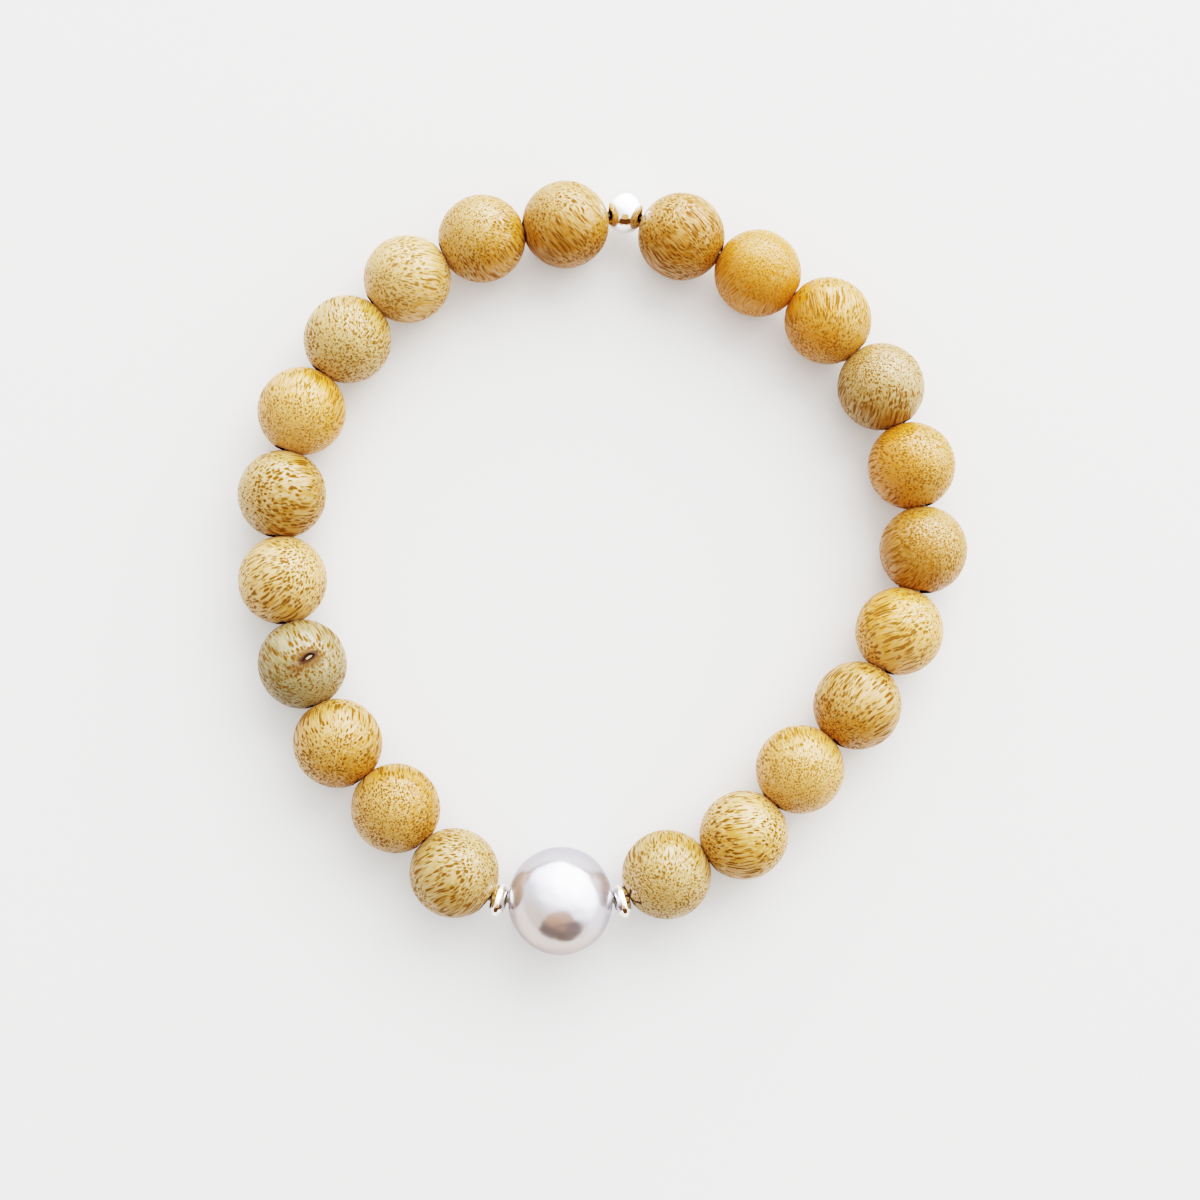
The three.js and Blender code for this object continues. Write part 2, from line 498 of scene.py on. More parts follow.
    def _deepness(self, shader: Shader, place: Signal, wood: Signal) -> Signal:
        """How deep the colour is, as it changes across the bead: partly the wood's own tone, partly painted
        shade on the side away from the light.

        Args:
            shader: The node tree.
            place: Place on the bead in millimetres.
            wood: Place in the block in millimetres.

        Returns:
            0 in the pale part to 1 in the deep part.
        """
        way = self.grain.deep_way() / self.radius
        side = shader.dot(place, way)
        uneven = shader.cloud(shader.stretch(wood, (1.0, 1.0, 0.5)), 0.40, 2.0) - 0.5
        start = self.grain.deep_start
        return shader.ease(side + uneven * 1.5, start - 0.55, start + 0.55)

    def _flecks(self, shader: Shader, wood: Signal) -> Signal:
        """Fine pale and dark flecks between the pores, longer along them.

        Args:
            shader: The node tree.
            wood: Place in the block in millimetres.

        Returns:
            0 in a pale fleck to 1 in a dark one.
        """
        fine = shader.cloud(shader.stretch(wood, (1.0, 1.0, 0.16)), 4.2 / self.grain.size, 2.0)
        return shader.ease(fine, 0.38, 0.62)

    def _pores(self, shader: Shader, wood: Signal) -> Signal:
        """Open pores: long thin tubes, so dots on end grain and dashes on side grain.

        Args:
            shader: The node tree.
            wood: Place in the block in millimetres.

        Returns:
            1 in a pore and 0 between.
        """
        ragged = shader.shift(shader.cloud(wood, 3.5, 1.0, "Color"), (-0.5, -0.5, -0.5))
        crowd = shader.cloud(wood, 0.45, 1.0)
        clear: Any = 1.0
        for spacing, strength in ((1.0, 1.0), (self.fine_spacing, self.fine_strength)):
            across = 1 / (spacing * self.pore_spacing * self.grain.size)
            cells = shader.stretch(wood, (across, across, 1 / self.pore_length))
            cells = shader.shift(cells, shader.stretch(ragged, (0.40, 0.40, 0.1)))
            sockets = {"Vector": cells, "Scale": 1.0, "Randomness": 0.9}
            distance = shader.node("ShaderNodeTexVoronoi", {"feature": "F1"}, sockets, "Distance")
            near = distance / (0.20 + crowd * 0.32)
            clear = clear * (1 - (1 - shader.ease(near, 0.70, 1.20)) * strength)
        return 1 - clear

    def _bore_shade(self, shader: Shader, place: Signal) -> Signal:
        """Painted shade inside the bore and round its mouths, where the beads meet and little light comes in.

        Args:
            shader: The node tree.
            place: Place on the bead in millimetres.

        Returns:
            1 in the painted shade and 0 outside it.
        """
        settings = {"operation": "CROSS_PRODUCT"}
        across = shader.node("ShaderNodeVectorMath", settings, {0: place, 1: tuple(self.bore)})
        uneven = shader.length(across) + (shader.cloud(place, 1.3, 2.0) - 0.5) * (2 * self.grain.chips)
        return 1 - shader.ease(uneven, self.grain.bore_shade_reach, self.grain.bore_shade_reach + 0.14)

    def _crack(self, shader: Shader, place: Signal, start: Triple, end: Triple) -> Signal:
        """Short open crack in the skin of the wood, with painted shade in it.

        Args:
            shader: The node tree.
            place: Place on the bead in millimetres.
            start: One end of the crack, in millimetres from the bead's middle.
            end: Its other end.

        Returns:
            1 in the crack and 0 outside it.
        """
        run = Vector(end) - Vector(start)
        local = shader.shift(place, tuple(-part for part in start))
        share = shader.node("ShaderNodeClamp", {}, {"Value": shader.dot(local, run / run.length_squared)})
        nearest = shader.node("ShaderNodeVectorMath", {"operation": "SCALE"}, {0: tuple(run), "Scale": share})
        sockets = {0: local, 1: nearest}
        across = shader.node("ShaderNodeVectorMath", {"operation": "DISTANCE"}, sockets, "Value")
        ragged = across + (shader.cloud(place, 2.2, 2.0) - 0.5) * 0.16
        return 1 - shader.ease(ragged, self.crack_half_width, self.crack_half_width + 0.09)

    def _knot_colour(self, shader: Shader, place: Signal, colour: Signal) -> tuple[Signal, Signal]:
        """Darkens the stained wood round the pit, and paints shade on the pit's walls.

        Args:
            shader: The node tree.
            place: Place on the bead in millimetres.
            colour: Colour of the wood.

        Returns:
            The colour with the pit, and where the stained wood has lost its wax.
        """
        local = shader.shift(place, tuple(-self.knot.site))
        ragged = shader.cloud(place, 1.1, 3.0) - 0.5
        halo = self._spot(shader, local, self.halo) + ragged * 0.8
        stained = 1 - shader.ease(halo, 0.5, 1.3)
        colour = shader.mix(stained * 0.88, colour, self.knot_colour)
        stain = self._spot(shader, local, self.stain) + ragged * 1.1
        colour = shader.mix((1 - shader.ease(stain, 0.3, 1.3)) * 0.8, colour, self.knot_colour)
        turned = shader.node(
            "ShaderNodeMapping",
            {"vector_type": "POINT"},
            {"Vector": local, "Rotation": self.knot.turn().inverted().to_euler()},
        )
        # Painted shade: the pit's walls and edge are darkened to near black.
        hollow = Spot((0.0, 0.0, 0.0), (self.knot.length / 2, self.knot.width / 2, 2 * self.knot.depth))
        rim = 1 - shader.ease(self._spot(shader, turned, hollow), 1.15, 1.6)
        colour = shader.mix(rim * 0.94, colour, self.pit_shade_colour)
        heart = self._spot(shader, turned, self.heart)
        return shader.mix(1 - shader.ease(heart, 0.7, 1.1), colour, self.heart_colour), stained

    def _spot(self, shader: Shader, local: Signal, spot: Spot) -> Signal:
        """Distance from the middle of an oval spot.

        Args:
            shader: The node tree.
            local: Place from the pit's middle, in millimetres.
            spot: The spot.

        Returns:
            0 in the middle of the spot and 1 at its edge.
        """
        moved = shader.shift(local, tuple(-part for part in spot.middle))
        shares = shader.stretch(moved, tuple(1 / part for part in spot.reach))
        return shader.length(shares)


@dataclass(frozen=True)
class NacreFinish:
    """Silver-grey pearl with a lilac overtone and a painted brown reflection on one side.

    Attributes:
        name: Plain name of the finish.
        brown_reflection_side: Way to the side with the painted brown reflection, its length the share of it
            gained by the millimetre.
        cool_colour: Colour of the nacre away from the painted reflection.
        brown_reflection_colour: Colour of the painted brown reflection.
        edge_tint: Colour that the rim turns to.
        relief_depth: Depth of the soft waves in the skin, in millimetres.
    """

    name: str = "nacre"
    brown_reflection_side: Triple = (-0.10, -0.18, -0.05)
    cool_colour: Colour = (0.50, 0.485, 0.54)
    brown_reflection_colour: Colour = (0.56, 0.465, 0.40)
    edge_tint: Colour = (0.52, 0.50, 0.57)
    relief_depth: float = 0.42

    def material(self) -> bpy.types.Material:
        """Builds the nacre.

        Returns:
            The finished material.
        """
        shader = Shader(self.name)
        place = shader.millimetres()
        # Painted reflection: the brown of the surroundings is mixed into the colour on the side towards -Y.
        side = shader.dot(place, self.brown_reflection_side)
        reflection_share = shader.ease(side + (shader.cloud(place, 0.16, 2.0) - 0.5) * 1.2, -0.5, 0.8)
        colour = shader.mix(reflection_share, self.cool_colour, self.brown_reflection_colour)
        skin = shader.cloud(place, 1.6, 4.0)
        swell = shader.cloud(place, 0.42, 1.0)
        return shader.surface({
            "Base Color": colour,
            "Metallic": 0.85,
            "Specular Tint": (*self.edge_tint, 1.0),
            "Roughness": 0.19 + skin * 0.06,
            "Normal": shader.bump(0.5, self.relief_depth, skin * 0.05 + swell),
            "Coat Weight": 0.25,
            "Coat Roughness": 0.08,
            "Sheen Weight": 0.15,
            "Sheen Tint": (0.85, 0.78, 0.95, 1.0),
        })


@dataclass(frozen=True)
class SilverFinish:
    """Polished silver with faint wear.

    Attributes:
        name: Plain name of the finish.
        roughness: Roughness where it is clean.
        clean_colour: Colour where it is clean.
        worn_colour: Colour where it is worn.
    """

    name: str = "polished silver"
    roughness: float = 0.05
    clean_colour: Colour = (0.96, 0.95, 0.93)
    worn_colour: Colour = (0.90, 0.87, 0.82)

    def material(self) -> bpy.types.Material:
        """Builds the silver.

        Returns:
            The finished material.
        """
        shader = Shader(self.name)
        place = shader.millimetres()
        smear = shader.ease(shader.cloud(place, 1.4, 3.0), 0.45, 0.75)
        colour = shader.mix(smear, self.clean_colour, self.worn_colour)
        return shader.surface({
            "Base Color": colour,
            "Metallic": 1.0,
            "Roughness": self.roughness + smear * 0.06,
        })


@dataclass(frozen=True)
class ElasticFinish:
    """Smooth elastic thread, painted muted tan for the wood's colour that a clear thread picks up from the
    beads round it: a painted reflection.

    Attributes:
        name: Plain name of the finish.
        dark_colour: Colour in its darker parts.
        pale_colour: Colour in its paler parts.
    """

    name: str = "tan elastic with painted reflection"
    dark_colour: Colour = (0.24, 0.18, 0.10)
    pale_colour: Colour = (0.34, 0.27, 0.17)

    def material(self) -> bpy.types.Material:
        """Builds the elastic.

        Returns:
            The finished material.
        """
        shader = Shader(self.name)
        place = shader.millimetres()
        # Painted reflection: the tan stands in for the wood's colour seen in a clear thread.
        colour = shader.mix(shader.cloud(place, 2.5, 2.0), self.dark_colour, self.pale_colour)
        return shader.surface({"Base Color": colour, "Roughness": 0.38, "Specular IOR Level": 0.5})


@dataclass(frozen=True)
class Place:
    """Where a strung piece lies.

    Attributes:
        node: Name of its solid in the frame.
        middle: Its middle, in metres.
        bore: Way in which its bore runs.
    """

    node: str
    middle: Vector
    bore: Vector

    def turn(self) -> Matrix:
        """Works out the turn that lays a turned piece's own Z along its bore.

        Returns:
            A rotation that keeps the piece's own Y on top.
        """
        side = Vector((0.0, 0.0, 1.0)).cross(self.bore).normalized()
        top = self.bore.cross(side)
        return Matrix((side, top, self.bore)).transposed()


class BeadString:
    """The order of the pieces on the thread, with the place of each read from the frame."""

    def __init__(self) -> None:
        """Reads the middle of each solid and works out how its bore runs."""
        beads = [f"wood_bead_{number:02d}" for number in range(1, 2 * WOOD_BEADS_PER_SIDE + 1)]
        right, left = beads[:WOOD_BEADS_PER_SIDE], beads[WOOD_BEADS_PER_SIDE:]
        order = ["silver_ball", *right, "pearl_saucer_right", "pearl", "pearl_saucer_left", *left]
        middles = [self._middle(node) for node in order]
        self.places: dict[str, Place] = {}
        for index, node in enumerate(order):
            bore = (middles[(index + 1) % len(order)] - middles[index - 1]).normalized()
            self.places[node] = Place(node, middles[index], bore)

    def _middle(self, node: str) -> Vector:
        """Middle of a solid's box."""
        low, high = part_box(node)
        return (Vector(low) + Vector(high)) / 2


@dataclass
class TurnedPiece:
    """A piece turned round its bore, which stands for one solid of the frame.

    Attributes:
        place: Where it lies.
        outline: Distance from the bore's middle and place along it, in millimetres, closed on itself.
        slot: Name of the slot for its finish; it is not used.
        sides: Faces round the bore.
        sharp: Angle above which an edge stays sharp, in degrees.
    """

    place: Place
    outline: list[tuple[float, float]]
    slot: str
    sides: int = 72
    sharp: float = 40.0

    def build(self, material: bpy.types.Material, wobble: float = 0.0) -> bpy.types.Object:
        """Makes the piece, lays it on the thread and ties it to the frame.

        Args:
            material: Its finish.
            wobble: How far the turned surface strays from true, in millimetres.

        Returns:
            The finished object.
        """
        rows = len(self.outline)
        turn = self.place.turn()
        points = []
        for side in range(self.sides):
            angle = math.tau * side / self.sides
            for radius, along in self.outline:
                point = turn @ Vector((radius * math.cos(angle), radius * math.sin(angle), along))
                if wobble:
                    seed = self.place.middle / MM
                    point *= 1 + wobble / 4 * noise.noise(point * WOBBLE_WAVES + seed)
                points.append(point * MM)
        faces = []
        for side in range(self.sides):
            here = side * rows
            there = (side + 1) % self.sides * rows
            for row in range(rows):
                following = (row + 1) % rows
                faces.append((here + row, there + row, there + following, here + following))
        mesh = bpy.data.meshes.new(f"{self.place.node}_mesh")
        mesh.from_pydata(points, [], faces)
        mesh.validate()
        mesh.shade_smooth()
        mesh.set_sharp_from_angle(angle=math.radians(self.sharp))
        mesh.materials.append(material)
        piece = bpy.data.objects.new(f"{self.place.node}_dressed", mesh)
        piece.location = self.place.middle
        bpy.context.scene.collection.objects.link(piece)
        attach(piece, ROOT)
        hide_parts(self.place.node)
        return piece


def drilled_outline(
    diameter: float,
    length: float,
    bore: float,
    mouth: float,
    steps: int = 44,
) -> list[tuple[float, float]]:
    """Outline of a round drilled bead, with its bore mouths rounded over.

    Args:
        diameter: Width across the bore.
        length: Length along the bore of the round form, as if undrilled.
        bore: Width of the bore.
        mouth: Width at which the rounding of a mouth begins.
        steps: Points on the round outside.

    Returns:
        Distance from the bore's middle and place along it, closed on itself.
    """
    mouth_angle = math.acos(mouth / diameter)
    outside = []
    for step in range(steps + 1):
        angle = mouth_angle * (2 * step / steps - 1)
        outside.append((diameter / 2 * math.cos(angle), length / 2 * math.sin(angle)))
    reach = length / 2 * math.sin(mouth_angle)
    roll = (mouth - bore) / 2
    upper = []
    for step in range(1, MOUTH_STEPS + 1):
        angle = math.pi / 2 * step / MOUTH_STEPS
        upper.append((mouth / 2 - roll * math.sin(angle), reach - roll * (1 - math.cos(angle))))
    lower = [(radius, -along) for radius, along in reversed(upper)]
    return outside + upper + lower


@dataclass
class WoodBeads:
    """The wood beads, each with its own grain.

    Attributes:
        diameter: Width across the bore, in millimetres.
        length: Length along the bore, in millimetres.
        bore: Width of the bore, in millimetres.
        mouth: Width of a bore mouth, in millimetres.
        wobble: How far the turned surface strays from true, in millimetres.
        pitted_bead: Number of the bead with the natural pit.
        pit_offset: Middle of the pit from the bead's middle as seen from above, in millimetres.
    """

    diameter: float = 8.0
    length: float = 8.06
    bore: float = 1.4
    mouth: float = 2.0
    wobble: float = 0.03
    pitted_bead: int = 15
    pit_offset: Vector = Vector((0.95, 0.4))

    def grains(self) -> list[Grain]:
        """How the wood of each bead lies, in the order of their numbers.

        Returns:
            A row for each bead: its tone, heading, lean, pores, deep_side, deep_start and size, and its lift
            where it has one.
        """
        # Most beads are deeper towards -Y, away from the key light: partly painted shade.
        return [
            Grain(Tone.BROWN, 136, 8, 0.85, 300, 0.25, 0.95, 1.2, bore_shade_reach=0.50, chips=0.05),
            Grain(Tone.ORANGE, 60, 66, 0.40, 255, -0.05, 0.75, 0.4),
            Grain(Tone.ORANGE, 270, 22, 0.65, 185, 0.20, 0.90, 0.3),
            Grain(Tone.ASH, 84, 58, 0.80, 255, 0.50, 0.90, shade=0.95),
            Grain(Tone.ORANGE, 5, 80, 0.65, 180, 0.00, 0.95, shade=0.94),
            Grain(Tone.BROWN, 40, 62, 0.70, 210, 0.05, 0.85, 0.3, shade=0.97),
            Grain(Tone.HONEY, 27, 22, 0.70, 150, 0.50, 1.10, 0.3, shade=1.05),
            Grain(Tone.GOLDEN, 222, 18, 1.00, 255, 0.25, 1.10, shade=0.96),
            Grain(Tone.HONEY, 265, 60, 0.65, 100, 0.70, 0.80),
            Grain(Tone.PALE, 5, 10, 0.90, 250, 0.30, 1.05, 0.4),
            Grain(
                Tone.KHAKI, 262, 55, 0.75, 70, 0.60, 0.95,
                shade=0.95, bore_shade_reach=1.10, chips=0.3, cracks=self.cracks(),
            ),
            Grain(Tone.KHAKI, 28, 32, 0.80, 270, 0.60, 1.05, shade=0.94, bore_shade_reach=1.15, chips=0.2),
            Grain(Tone.GOLDEN, 270, 68, 0.90, 30, 0.25, 0.85, shade=0.97),
            Grain(Tone.GOLDEN, 270, 42, 1.00, 310, 0.30, 1.05, shade=0.98),
            Grain(Tone.GREY_GREEN, 300, 42, 1.10, 200, 0.55, 1.15, shade=0.92, gloss=0.8),
            Grain(Tone.PALE, 27, 25, 0.78, 260, 0.50, 1.10),
            Grain(Tone.ASH, 180, 36, 1.00, 345, 0.15, 1.30, shade=1.08),
            Grain(Tone.HONEY, 262, 38, 0.65, 5, 0.35, 0.85),
            Grain(Tone.KHAKI, 270, 50, 0.75, 40, 0.60, 1.00, shade=1.04),
            Grain(Tone.PALE, 185, 38, 0.62, 300, 0.60, 1.00, shade=1.02),
            Grain(Tone.GOLDEN, 150, 62, 0.75, 325, 0.20, 0.90),
            Grain(Tone.BROWN, 140, 25, 0.80, 285, 0.05, 0.95, bore_shade_reach=0.50, chips=0.05),
        ]

    def cracks(self) -> tuple[tuple[Triple, Triple], ...]:
        """Cracks that run from the drilled mouth of the bead to the right of the pearl.

        Returns:
            Both ends of each crack, in millimetres from the bead's middle.
        """
        mouth = (-3.36, -2.05, 0.75)
        return (
            (mouth, (-2.45, -2.40, 2.05)),
            (mouth, (-2.95, -2.56, 1.00)),
            (mouth, (-3.30, -1.35, 1.80)),
        )

    def pit(self) -> Knot:
        """The natural pit, on the round outside of its bead."""
        rise = math.sqrt((self.diameter / 2) ** 2 - self.pit_offset.length_squared)
        site = Vector((*self.pit_offset, rise))
        return Knot(site, heading=32.0, length=1.5, width=0.6, depth=0.45)

    def build(self, string: BeadString) -> list[bpy.types.Object]:
        """Makes all the wood beads.

        Args:
            string: Places of the pieces.

        Returns:
            The beads in the order of their numbers.
        """
        outline = drilled_outline(self.diameter, self.length, self.bore, self.mouth)
        beads = []
        for number, grain in enumerate(self.grains(), start=1):
            node = f"wood_bead_{number:02d}"
            knot = self.pit() if number == self.pitted_bead else None
            place = string.places[node]
            name = f"waxed wood {number:02d}"
            finish = WoodFinish(name, grain, number, self.diameter / 2, place.bore, knot)
            bead = TurnedPiece(place, outline, "wood").build(finish.material(), self.wobble)
            if knot:
                self._sink_pit(bead, knot)
            beads.append(bead)
            LOG.info("%s: %s wood, %d faces", node, grain.tone.name.lower(), len(bead.data.polygons))
        return beads

    def _sink_pit(self, bead: bpy.types.Object, knot: Knot) -> None:
        """Cuts the natural pit into a bead.

        Args:
            bead: The bead, whose mesh is replaced by the cut one.
            knot: The pit.
        """
        bpy.ops.mesh.primitive_ico_sphere_add(subdivisions=5, radius=0.5)
        cutter = bpy.context.object
        for vertex in cutter.data.vertices:
            rough = 1 + knot.raggedness * noise.noise(vertex.co * knot.ragged_waves)
            narrow = 1 - knot.taper * abs(2 * vertex.co.x) ** 2
            scaled = Vector((knot.length, knot.width * max(narrow, 0.2), 2 * knot.depth))
            local = Vector([share * size for share, size in zip(vertex.co * rough, scaled)])
            vertex.co = (knot.turn() @ local + knot.site) * MM
        cutter.location = bead.location
        bpy.context.view_layer.update()
        cut = bead.modifiers.new("pit", "BOOLEAN")
        cut.operation = "DIFFERENCE"
        cut.solver = "EXACT"
        cut.object = cutter
        graph = bpy.context.evaluated_depsgraph_get()
        carved = bpy.data.meshes.new_from_object(bead.evaluated_get(graph))
        bead.modifiers.clear()
        bead.data = carved
        bpy.data.objects.remove(cutter)
        carved.shade_smooth()
        carved.set_sharp_from_angle(angle=math.radians(35.0))


@dataclass
class Pearl:
    """The pearl.

    Attributes:
        diameter: Width across the bore, in millimetres.
        length: Length along the bore, in millimetres.
        bore: Width of the bore, in millimetres.
        mouth: Width of a bore mouth, in millimetres.
    """

    diameter: float = 9.6
    length: float = 9.4
    bore: float = 1.2
    mouth: float = 1.4

    def build(self, string: BeadString) -> bpy.types.Object:
        """Makes the pearl.

        Args:
            string: Places of the pieces.

        Returns:
            The pearl.
        """
        outline = drilled_outline(self.diameter, self.length, self.bore, self.mouth, steps=72)
        turned = TurnedPiece(string.places["pearl"], outline, "pearl", sides=120)
        pearl = turned.build(NacreFinish().material(), wobble=0.06)
        LOG.info("pearl: %d faces", len(pearl.data.polygons))
        return pearl


@dataclass
class SilverPieces:
    """The silver ball and the two saucers beside the pearl.

    Attributes:
        ball_diameter: Width of the ball across its bore, in millimetres.
        ball_length: Length of the ball along its bore, in millimetres.
        ball_bore: Width of its bore, in millimetres.
        ball_mouth: Width of its bore mouths, in millimetres.
        saucer_thickness: Thickness of a saucer, in millimetres.
        saucer_rim: Width of a saucer across its rim, in millimetres.
        saucer_rim_width: Thickness of the rim, in millimetres.
        saucer_face: Width of a saucer's flat face, in millimetres.
        saucer_bore: Width of its bore, in millimetres.
        rim_round: How far the rim's edges are rounded, in millimetres.
        rim_step: How far the flank begins below the rim, in millimetres.
        bore_round: How deep the edges of the bore are rounded, in millimetres.
        flank_steps: Points on a flank.
    """

    ball_diameter: float = 4.1
    ball_length: float = 3.8
    ball_bore: float = 1.8
    ball_mouth: float = 2.3
    saucer_thickness: float = 1.3
    saucer_rim: float = 3.05
    saucer_rim_width: float = 0.4
    saucer_face: float = 1.8
    saucer_bore: float = 1.3
    rim_round: float = 0.02
    rim_step: float = 0.06
    bore_round: float = 0.05
    flank_steps: int = 9

    def saucer_outline(self) -> list[tuple[float, float]]:
        """Outline of a saucer, with domed flanks and a raised middle rim.

        Returns:
            Distance from the bore's middle and place along it, closed on itself.
        """
        half = self.saucer_thickness / 2
        rim = self.saucer_rim_width / 2
        face_radius = self.saucer_face / 2
        rise = self.saucer_rim / 2 - face_radius
        upper = [(self.saucer_rim / 2, rim * 0.7), (self.saucer_rim / 2 - self.rim_round, rim)]
        for step in range(1, self.flank_steps + 1):
            share = step / self.flank_steps
            radius = self.saucer_rim / 2 - self.rim_step - (rise - self.rim_step) * share
            dome = rim + (half - rim) * math.sin(math.pi / 2 * share) ** 0.9
            upper.append((radius, dome))
        upper.append((self.saucer_bore / 2 + 0.6 * self.bore_round, half))
        upper.append((self.saucer_bore / 2, half - self.bore_round))
        lower = [(radius, -along) for radius, along in reversed(upper)]
        return lower + upper

    def build(self, string: BeadString) -> list[bpy.types.Object]:
        """Makes the silver pieces.

        Args:
            string: Places of the pieces.

        Returns:
            The ball and the two saucers.
        """
        silver = SilverFinish().material()
        ball_outline = drilled_outline(self.ball_diameter, self.ball_length, self.ball_bore, self.ball_mouth)
        pieces = [TurnedPiece(string.places["silver_ball"], ball_outline, "silver", sides=96).build(silver)]
        for side in ("right", "left"):
            place = string.places[f"pearl_saucer_{side}"]
            saucer = TurnedPiece(place, self.saucer_outline(), "silver", sides=96, sharp=30.0)
            pieces.append(saucer.build(silver))
        for piece in pieces:
            LOG.info("%s: %d faces", piece.name, len(piece.data.polygons))
        return pieces


@dataclass
class ElasticThread:
    """The thread through the bores, whose solid stays and is given its finish.

    Attributes:
        node: Name of its solid in the frame.
    """

    node: str = "elastic_thread"

    def dress(self, frame: dict[str, Any]) -> None:
        """Gives the thread's solid its finish.

        Args:
            frame: The loaded frame.
        """
        mesh = frame["nodes"][self.node].data
        mesh.materials.clear()
        mesh.materials.append(ElasticFinish().material())
        LOG.info("%s: dressed", self.node)


@dataclass
class Studio:
    """Plain pale floor, soft light and the camera, none of them part of the object.

    Attributes:
        floor_size: Width of the floor, in metres.
        floor_colour: Colour of the floor.
        camera_at: Place of the camera, in metres.
        camera_to: Place that it looks at, in metres.
        focal: Focal length for a 36 mm wide sensor, in millimetres.
        bright_side: Way to the brighter side of the studio.
        sky_dark: Strength of the sky on its darker side.
        sky_bright: Strength of the sky on its brighter side.
        reflector_radius: Radius of the white dome that glossy surfaces reflect, in metres.
        reflector_dark: Glow of the dome on the darker side.
        reflector_bright: Glow of the dome on the brighter side.
        dark_glow: How bright the dark card is in a reflection.
        tan_glow: How bright the tan card is in a reflection.
        exposure: Exposure of the picture, in stops.
    """

    floor_size: float = 6.0
    floor_colour: Colour = (0.84, 0.84, 0.825)
    camera_at: Vector = Vector((-0.00685, -0.0193, 0.1901))
    camera_to: Vector = Vector((-0.00037, -0.00347, 0.004))
    focal: float = 61.5
    bright_side: Vector = Vector((0.45, 0.85, 0.25))
    sky_dark: float = 0.20
    sky_bright: float = 1.20
    reflector_radius: float = 1.2
    reflector_dark: Colour = (0.60, 0.58, 0.55)
    reflector_bright: Colour = (4.7, 5.05, 5.6)
    dark_glow: Colour = (0.065, 0.026, 0.008)
    tan_glow: Colour = (0.46, 0.23, 0.10)
    exposure: float = 1.1

    def build(self) -> None:
        """Makes the floor, the lights and the camera."""
        self._floor()
        self._sky()
        self._softbox("key", Vector((0.20, 0.44, 0.33)), size=0.60, power=2.9)
        self._reflector()
        self._card("dark_card", Vector((0.0, -0.25, 0.10)), width=0.38, height=0.19, colour=self.dark_glow)
        self._card("tan_card", Vector((-0.01, -0.25, 0.34)), width=0.30, height=0.29, colour=self.tan_glow)
        self._camera()
        scene = bpy.context.scene
        scene.view_settings.view_transform = "Filmic"
        scene.view_settings.look = "High Contrast"
        scene.view_settings.exposure = self.exposure
        LOG.info("studio: floor, softbox, reflector, cards and camera")

    def _floor(self) -> None:
        """Lays the floor under the bracelet."""
        bpy.ops.mesh.primitive_plane_add(size=self.floor_size)
        floor = bpy.context.object
        floor.name = "floor"
        shader = Shader("pale floor")
        sockets = {"Base Color": (*self.floor_colour, 1.0), "Roughness": 0.85, "Specular IOR Level": 0.2}
        floor.data.materials.append(shader.surface(sockets))

    def _sky(self) -> None:
        """Lights the scene from all round, brighter from the side of the key light."""
        world = bpy.data.worlds.new("soft sky")
        bpy.context.scene.world = world
        nodes = Nodes(world)
        place = nodes.node("ShaderNodeTexCoord", {}, {}, "Generated")
        way = self.bright_side.normalized()
        facing = nodes.node("ShaderNodeVectorMath", {"operation": "DOT_PRODUCT"}, {0: place, 1: way}, "Value")
        limits = {1: -0.8, 2: 0.9, 3: self.sky_dark, 4: self.sky_bright}
        strength = nodes.node("ShaderNodeMapRange", {}, {0: facing, **limits})
        glow = nodes.node("ShaderNodeBackground", {}, {"Color": (1.0, 1.0, 1.0, 1.0), "Strength": strength})
        nodes.node("ShaderNodeOutputWorld", {}, {"Surface": glow})

    def _softbox(self, name: str, place: Vector, size: float, power: float) -> None:
        """Hangs a square light that faces the bracelet.

        Args:
            name: Plain name of the light.
            place: Its place, in metres.
            size: Its width, in metres.
            power: Its power, in watts.
        """
        light = bpy.data.lights.new(name, "AREA")
        light.size = size
        light.energy = power
        lamp = bpy.data.objects.new(name, light)
        lamp.location = place
        lamp.rotation_euler = (-place).to_track_quat("-Z", "Y").to_euler()
        bpy.context.scene.collection.objects.link(lamp)

    def _reflector(self) -> None:
        """Sets up a white dome that only glossy surfaces see, brighter on the side of the key light."""
        shader = Shader("white reflector")
        place = shader.node("ShaderNodeTexCoord", {}, {}, "Object")
        facing = shader.dot(place, self.bright_side.normalized() / self.reflector_radius)
        glow = shader.mix(shader.ease(facing, -0.7, 1.0) ** 2, self.reflector_dark, self.reflector_bright)
        bpy.ops.mesh.primitive_uv_sphere_add(segments=48, ring_count=24, radius=self.reflector_radius)
        dome = bpy.context.object
        dome.name = "white_reflector"
        for polygon in dome.data.polygons:
            polygon.use_smooth = True
        self._only_in_gloss(dome, shader.surface({
            "Base Color": (0.0, 0.0, 0.0, 1.0),
            "Specular IOR Level": 0.0,
            "Emission Color": glow,
            "Emission Strength": 1.0,
        }))

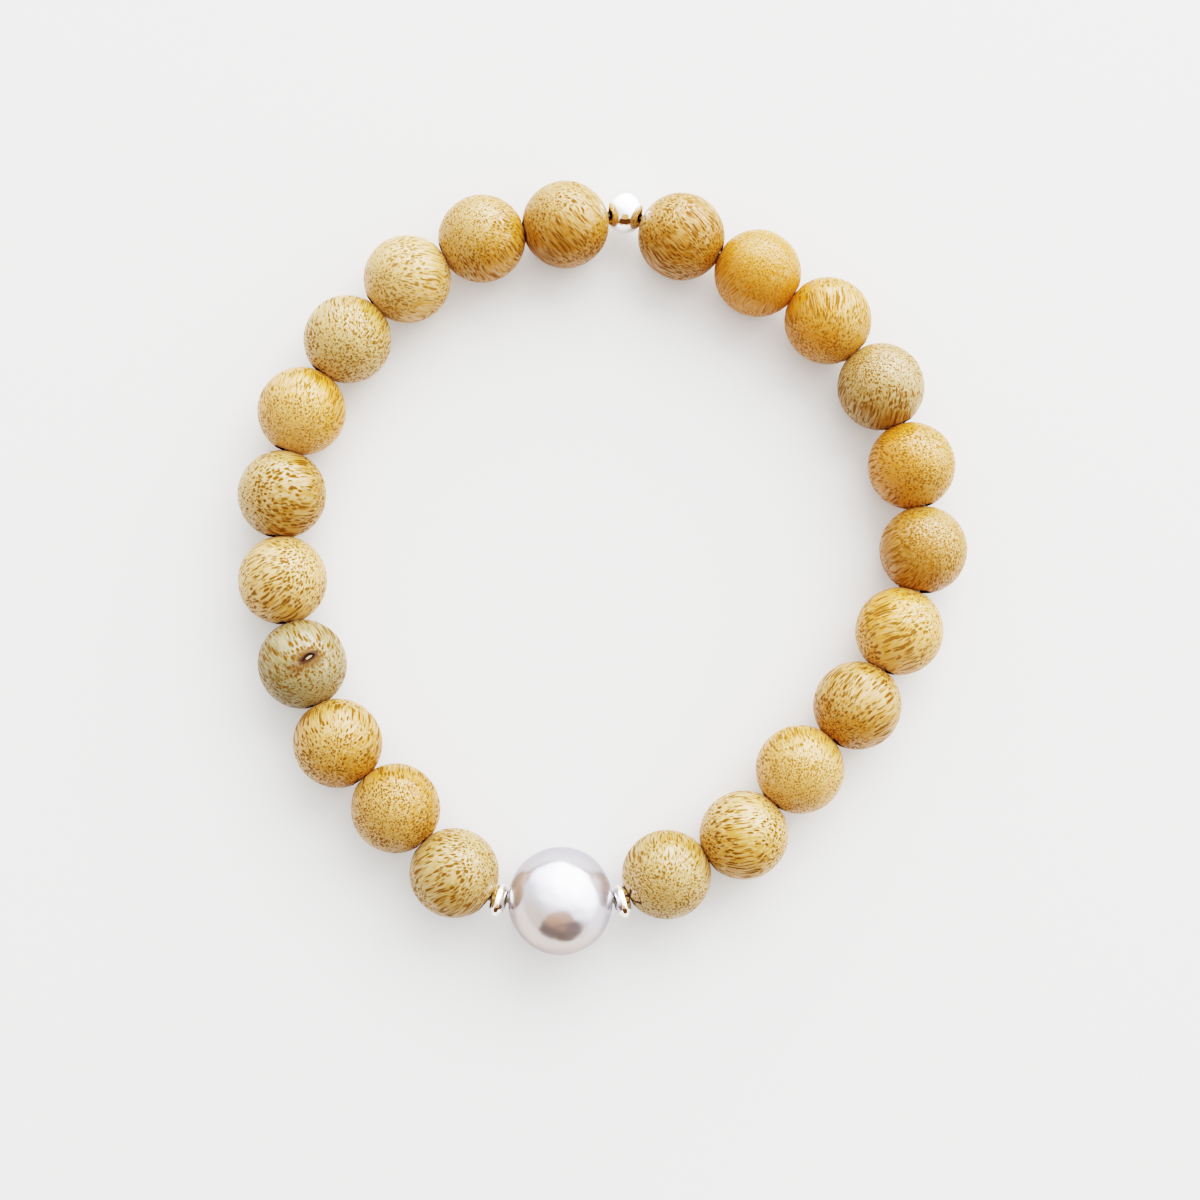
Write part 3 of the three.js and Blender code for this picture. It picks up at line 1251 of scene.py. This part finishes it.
    def _card(self, name: str, place: Vector, width: float, height: float, colour: Colour) -> None:
        """Stands an upright card where only glossy surfaces see it.

        Args:
            name: Plain name of the card.
            place: Its middle, in metres.
            width: Its width, in metres.
            height: Its height, in metres.
            colour: How bright each colour is in a reflection of it.
        """
        right, top = width / 2, height / 2
        corners = [(-right, 0, -top), (right, 0, -top), (right, 0, top), (-right, 0, top)]
        mesh = bpy.data.meshes.new(f"{name}_mesh")
        mesh.from_pydata(corners, [], [(0, 1, 2, 3)])
        card = bpy.data.objects.new(name, mesh)
        card.location = place
        bpy.context.scene.collection.objects.link(card)
        self._only_in_gloss(card, Shader(name.replace("_", " ")).surface({
            "Base Color": (0.0, 0.0, 0.0, 1.0),
            "Specular IOR Level": 0.0,
            "Emission Color": (*colour, 1.0),
            "Emission Strength": 1.0,
        }))

    def _only_in_gloss(self, thing: bpy.types.Object, material: bpy.types.Material) -> None:
        """Lets a thing of the studio show in reflections alone.

        Args:
            thing: The dome or card.
            material: Its glow.
        """
        material.cycles.emission_sampling = "NONE"
        thing.data.materials.append(material)
        thing.visible_camera = False
        thing.visible_diffuse = False
        thing.visible_transmission = False
        thing.visible_shadow = False

    def _camera(self) -> None:
        """Sets the camera above the bracelet, with +Y at the top of the picture."""
        ahead = (self.camera_to - self.camera_at).normalized()
        right = ahead.cross(Vector((0.0, 1.0, 0.0))).normalized()
        above = right.cross(ahead)
        turn = Matrix((right, above, -ahead)).transposed()
        lens = bpy.data.cameras.new("camera")
        lens.sensor_width = 36.0
        lens.lens = self.focal
        lens.clip_start = 0.005
        lens.clip_end = 20.0
        camera = bpy.data.objects.new("camera", lens)
        camera.matrix_world = Matrix.Translation(self.camera_at) @ turn.to_4x4()
        bpy.context.scene.collection.objects.link(camera)
        bpy.context.scene.camera = camera


def main() -> None:
    """Builds the bracelet round the frame and reports each piece."""
    logging.basicConfig(level=logging.INFO, format="%(name)s: %(message)s", stream=sys.stdout)
    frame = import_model()
    string = BeadString()
    WoodBeads().build(string)
    Pearl().build(string)
    SilverPieces().build(string)
    ElasticThread().dress(frame)
    Studio().build()
    LOG.info("all pieces are on the string")


if __name__ == "__main__":
    main()
